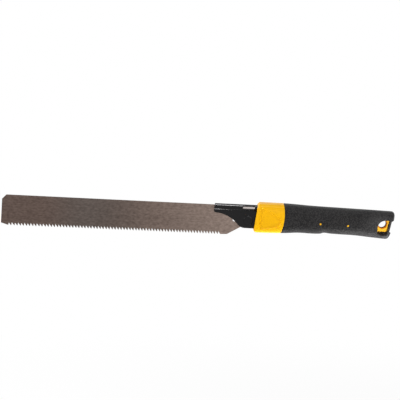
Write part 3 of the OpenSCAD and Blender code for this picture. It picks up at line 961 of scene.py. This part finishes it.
def holder_section():
    """y and z of the sheet: near cheek, hollow fillet, bead, and then fillet and cheek mirrored."""
    turn = np.radians(turns)
    bead_y, bead_z = BEAD_R * np.cos(turn), BEAD_Z + BEAD_R * np.sin(turn)
    bend = np.linspace(0, np.radians(BEAD_FROM - 180), FOLD_ROWS + 1)[:-1]
    fold_y = FILLET_R * (np.cos(bend) - 1) - CHEEK_OUT
    fold_z = bead_z[0] + FILLET_R * np.sin(turn[0]) + FILLET_R * np.sin(bend)
    rise = np.linspace(0, 1, CHEEK_ROWS + 1)[:-1]
    cheek_z = cheek_edge(columns_x[:, None]) * (1 - rise) + fold_z[0] * rise
    fold_z, bead_z = (np.tile(row, (len(columns_x), 1)) for row in (fold_z, bead_z))
    side_y = np.concatenate([np.full(CHEEK_ROWS, -CHEEK_OUT), fold_y])
    side_z = np.concatenate([cheek_z, fold_z], 1)
    y = np.concatenate([side_y, bead_y, -side_y[::-1]])
    return y, np.concatenate([side_z, bead_z, side_z[:, ::-1]], 1)


def end_shift(x, z):
    """How far points move along the saw: with the nose's lean, to the slot's tip, and with the slant
    of its rear end."""
    nose_low = NOSE_Z + NOSE_ROUND
    lean = NOSE_LEAN * np.clip((z - nose_low) / (BEAD_Z + BEAD_R - nose_low), 0, 1)
    lean = lean * np.clip(1 - (x - NOSE_X + NOSE_LEAN) / NOSE_FADE, 0, 1)
    up = (z - SLOT_MID) / SLOT_HALF
    tip = (SLOT_TIP - SLOT_LEFT) * (1 - np.abs(up))
    tip = tip * np.clip((x - TIP_FADE_FROM) / (SLOT_LEFT - TIP_FADE_FROM), 0, 1)
    tip = tip * np.clip(1 - (x - SLOT_LEFT) / SLOT_FADE, 0, 1)
    slant = SLOT_SLANT * up * np.clip(1 - np.abs(x - SLOT_RIGHT) / SLOT_FADE, 0, 1)
    return lean + np.where(np.abs(up) < 1 + SLACK, tip + slant, 0)


def leg_points(side):
    """One of the two legs inside the handle: a plain strip that carries on the cheek."""
    x, z = np.linspace(HOLDER_END - 1, LEG_END, 12)[:, None], np.linspace(LEG_LOW, LEG_HIGH, 6)
    return np.stack(np.broadcast_arrays(x, side * CHEEK_OUT, z[::-side]), -1)


y, z = holder_section()
x = columns_x[:, None]
sheet = np.stack([x + end_shift(x, z), np.broadcast_to(y, z.shape), z], -1)
print("sheet grid:", sheet.shape[:2])

# %% [markdown]
# ## The holder in one piece
# Faces are left out at the slot, on both sides of the bead. Solidify then gives the sheet its
# thickness towards the inside, as a press brake would leave it, and a small bevel breaks the edges.

# %% Holder piece
EDGE_ROUND, EDGE_SEGMENTS, EDGE_ANGLE = 0.16, 2, np.radians(50)

from_top = np.abs((turns[:-1] + turns[1:]) / 2 - 90)
in_slot = (from_top > slot_high - 90) & (from_top < slot_low - 90)
row_cut = np.zeros(sheet.shape[1] - 1, bool)
row_cut[CHEEK_ROWS + FOLD_ROWS :][: len(in_slot)] = in_slot
column_middle = (columns_x[:-1] + columns_x[1:]) / 2
column_cut = (column_middle > SLOT_LEFT) & (column_middle < SLOT_RIGHT)
slot = column_cut[:, None] & row_cut[None, :]
parts = [surface(sheet, wrap_columns=False, keep=~slot)]
parts += [surface(leg_points(side), wrap_columns=False) for side in (-1, 1)]
holder = add_piece("folded_holder", parts, closed=False)
thickness = holder.modifiers.new("sheet", "SOLIDIFY")
thickness.thickness, thickness.offset = SHEET_T * MM, -1
edges = holder.modifiers.new("edges", "BEVEL")
edges.width, edges.segments, edges.angle_limit = EDGE_ROUND * MM, EDGE_SEGMENTS, EDGE_ANGLE

# %% [markdown]
# ## Rivet and rod
# The rivet that the blade hooks on has a low, slightly domed head on each cheek. The rod in the bead
# has a tapered tip, which shows in the slot. Both are turned parts: a profile carried round its axis.
# A cylinder with a Bevel modifier would do for the rod, but not for the dome.

# %% Rivet and rod
HEAD_R, HEAD_TOP, DOME_R, DOME_DROP = 4.75, 2.5, 4.2, 0.14
PIN_R, PIN_TUCK = 2.5, 0.3
ROD_TIP, ROD_TAPER, ROD_END, ROD_R = -7.6, -5.6, 30.0, 2.1
TIP_POWER, ROD_CHAMFER = 1.3, 0.2
RIVET_STEPS, ROD_STEPS = 72, 48

dome = np.linspace(0, 1, 9)
head = np.column_stack([DOME_R * dome, HEAD_TOP - DOME_DROP * dome**2])
brim_wide, brim_high = HEAD_R - DOME_R, HEAD_TOP - DOME_DROP - CHEEK_OUT
brim = [DOME_R, CHEEK_OUT] + ways(np.linspace(np.pi / 2, 0, 6)[1:]) * [brim_wide, brim_high]
half_rivet = np.concatenate([head, brim, [[PIN_R, CHEEK_OUT], [PIN_R, CHEEK_OUT - PIN_TUCK]]])
spun = turned(np.concatenate([half_rivet, half_rivet[::-1] * [1, -1]]), RIVET_STEPS)
rivet = add_piece("domed_rivet", [surface(spun[..., [0, 2, 1]])])

bullet = np.linspace(0, np.pi / 2, 10)
tip_x = ROD_TAPER - (ROD_TAPER - ROD_TIP) * np.cos(bullet) ** TIP_POWER
rod_end = [[ROD_R, ROD_END - ROD_CHAMFER], [ROD_R - ROD_CHAMFER, ROD_END], [0, ROD_END]]
rod_profile = np.concatenate([np.column_stack([ROD_R * np.sin(bullet), tip_x]), rod_end])
spun = turned(rod_profile, ROD_STEPS)
rod = add_piece("tapered_rod", [surface(spun[..., [2, 0, 1]] + [0, 0, BEAD_Z])])

# %% [markdown]
# ## Brushed blade steel
# The blade is thin spring steel with a faint brown cast. Its colour also carries painted reflection:
# a greyer band in the middle of its length, and a painted sheen that turns it paler towards the heel.
# Brushing along the saw leaves fine lines, so one noise is stretched along X until its cells are long
# scratches. They drive the colour, together with soft patches and a fine mottle, and also the
# roughness and a very shallow bump.

# %% Blade finish
# Toe and heel tones, and the middle band's tones: the paler heel is painted sheen, the greyer band
# painted reflection.
TOE_TONES = linear(65, 53, 48), linear(110, 95, 88)
HEEL_PAINTED_SHEEN_TONES = linear(87, 75, 69), linear(144, 128, 119)
PAINTED_REFLECTION_TONES = linear(63, 56, 52), linear(105, 95, 90)
PAINTED_SHEEN_RAMP, PAINTED_REFLECTION_RISE, PAINTED_REFLECTION_FALL = (-0.315, -0.125), (-0.34, -0.295), (-0.295, -0.215)
SCRATCH_DEPTH = 0.00004

steel, shader, place = new_finish("brushed_blade_steel")
scratches = noise(place, scale=900.0, detail=4.0, roughness=0.6, stretch=(0.012, 1, 1))
patches = noise(place, scale=16.0, roughness=0.55, stretch=(0.5, 1, 1))
mottle = noise(place, scale=600.0, roughness=0.6, stretch=(0.5, 1, 1))
along = axis(place, "X")
# Painted sheen that rises towards the heel, and a band of painted reflection in the blade's middle.
heel_painted_sheen = along.between(*PAINTED_SHEEN_RAMP)
painted_reflection_band = along.between(*PAINTED_REFLECTION_RISE) * (1 - along.between(*PAINTED_REFLECTION_FALL))
tones = zip(TOE_TONES, HEEL_PAINTED_SHEEN_TONES, PAINTED_REFLECTION_TONES)
dark, pale = (painted_reflection_band.mix(heel_painted_sheen.mix(toe, heel), middle) for toe, heel, middle in tones)
streaks = scratches * 0.4 + patches * 0.3 + mottle * 1.15 - 0.45
look = {
    "Base Color": streaks.mix(dark, pale),
    "Roughness": 0.34 + scratches * 0.14,
    "Metallic": 1.0,
    "Normal": bumped(place, scratches, SCRATCH_DEPTH),
}
fill(shader, place, look)
refinish("blade", steel)

# %% [markdown]
# ## Black paint
# Holder and rivet are sprayed a glossy black. Real paint is never quite even, so a soft noise varies
# the gloss, and a finer one gives the faint orange peel of a sprayed coat.

# %% Paint finish
PEEL_DEPTH = 0.000003

paint, shader, place = new_finish("gloss_black_paint")
cloud = noise(place, scale=60.0)
peel = noise(place, scale=1400.0, detail=2.0)
look = {
    "Base Color": cloud.mix(linear(9, 9, 10), linear(16, 15, 16)),
    "Roughness": 0.1 + cloud * 0.05,
    "Specular IOR Level": 0.2,
    "Normal": bumped(place, peel, PEEL_DEPTH),
}
fill(shader, place, look)
finish_piece(holder, "handle", "blade_holder", paint)
finish_piece(rivet, "handle", "hook_pin", paint)

# %% [markdown]
# ## Bright steel
# The rod and the cross pins are ground steel. Fine rings round the rod come from noise that is
# stretched across its length.

# %% Rod finish
RING_DEPTH = 0.000004

bright, shader, place = new_finish("ground_rod_steel")
grinding = noise(place, scale=2500.0, roughness=0.6, stretch=(1, 0.03, 0.03))
look = {
    "Base Color": grinding.mix(linear(172, 164, 160), linear(194, 186, 182)),
    "Roughness": 0.2 + grinding * 0.15,
    "Metallic": 1.0,
    "Normal": bumped(place, grinding, RING_DEPTH),
}
fill(shader, place, look)
finish_piece(rod, "handle", "tang_rod", bright)
refinish("tang_pins", bright)

# %% [markdown]
# ## Yellow plastic
# The core is injection moulded in a warm yellow with a soft shine. A moulding has slight sink marks
# and flow, so colour and gloss wander a little, and the mould's fine texture is a shallow bump. The
# wall of the hang hole gets painted shade, a dull brown: the distance from its axis says where.

# %% Plastic finish
# Painted shade on the hang hole's wall: its radii from the hole's axis, its brown tone and its added
# roughness.
BORE_SHADE_FULL, BORE_SHADE_END = 0.0048, 0.0053
BORE_SHADE_TONE, BORE_WALL_ROUGH = linear(176, 104, 20), 0.5
SPARK_DEPTH = 0.000004

plastic, shader, place = new_finish("yellow_moulded_plastic")
flow = noise(place, scale=45.0, stretch=(0.6, 1, 1))
spark = noise(place, scale=2600.0, detail=2.0, roughness=0.6)
along, height = axis(place, "X"), axis(place, "Z")
from_axis = along.math("POWER", along * along + height * height, 0.5)
# Painted shade: 1 on the hole's wall and rounded rim, 0 farther out.
bore_painted_shade = 1 - from_axis.between(BORE_SHADE_FULL, BORE_SHADE_END)
tone = flow.mix(linear(219, 160, 0), linear(226, 170, 0))
look = {
    "Base Color": bore_painted_shade.mix(tone, BORE_SHADE_TONE),
    "Roughness": 0.3 + flow * 0.12 + spark * 0.05 + bore_painted_shade * BORE_WALL_ROUGH,
    "Specular IOR Level": 0.12,
    "Normal": bumped(place, spark, SPARK_DEPTH),
}
fill(shader, place, look)
finish_piece(core, "handle", "handle_core", plastic)

# %% [markdown]
# ## Black rubber
# The grip is a matte rubber with a fine moulded grain. Voronoi cells of about a millimetre make the
# pebbles of the grain, with a finer dust on top. The pebbles also drive the colour: their tops carry
# painted highlights, pale against the dark gaps between them.

# %% Rubber finish
PEBBLES_A_METRE, PEBBLE_SCATTER = 950.0, 0.85
PEBBLE_TOP, PEBBLE_FOOT = 0.1, 0.72
GRAIN_DEPTH, GRAIN_STRENGTH = 0.00014, 0.8

rubber, shader, place = new_finish("grained_black_rubber")
cells = {"Vector": place, "Scale": PEBBLES_A_METRE, "Randomness": PEBBLE_SCATTER}
pebbles = place.node("ShaderNodeTexVoronoi", inputs=cells)
dust = noise(place, scale=5200.0, detail=2.0, roughness=0.6)
wear = noise(place, scale=30.0, detail=4.0, roughness=0.6)
# The pebbles' grain, used for the bump, and also their tops painted pale as highlights in the colour.
grain_and_painted_highlights = 1 - pebbles.between(PEBBLE_TOP, PEBBLE_FOOT)
look = {
    "Base Color": (grain_and_painted_highlights * 0.85 + wear * 0.15).mix(linear(1, 1, 2), linear(49, 47, 47)),
    "Roughness": 0.5 + wear * 0.15,
    "Specular IOR Level": 0.16,
    "Normal": bumped(place, grain_and_painted_highlights + dust * 0.3, GRAIN_DEPTH, GRAIN_STRENGTH),
}
fill(shader, place, look)
finish_piece(grip_rubber, "handle", "grip_sleeve", rubber)

# %% [markdown]
# ## The size of the CAD parts and of the dressed saw
# Looks never change a part's size.

# %% Close
boxes = {"cad": cad_box, "visual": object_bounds()}
boxes = {name: [[float(value) for value in corner] for corner in box] for name, box in boxes.items()}
print(boxes)
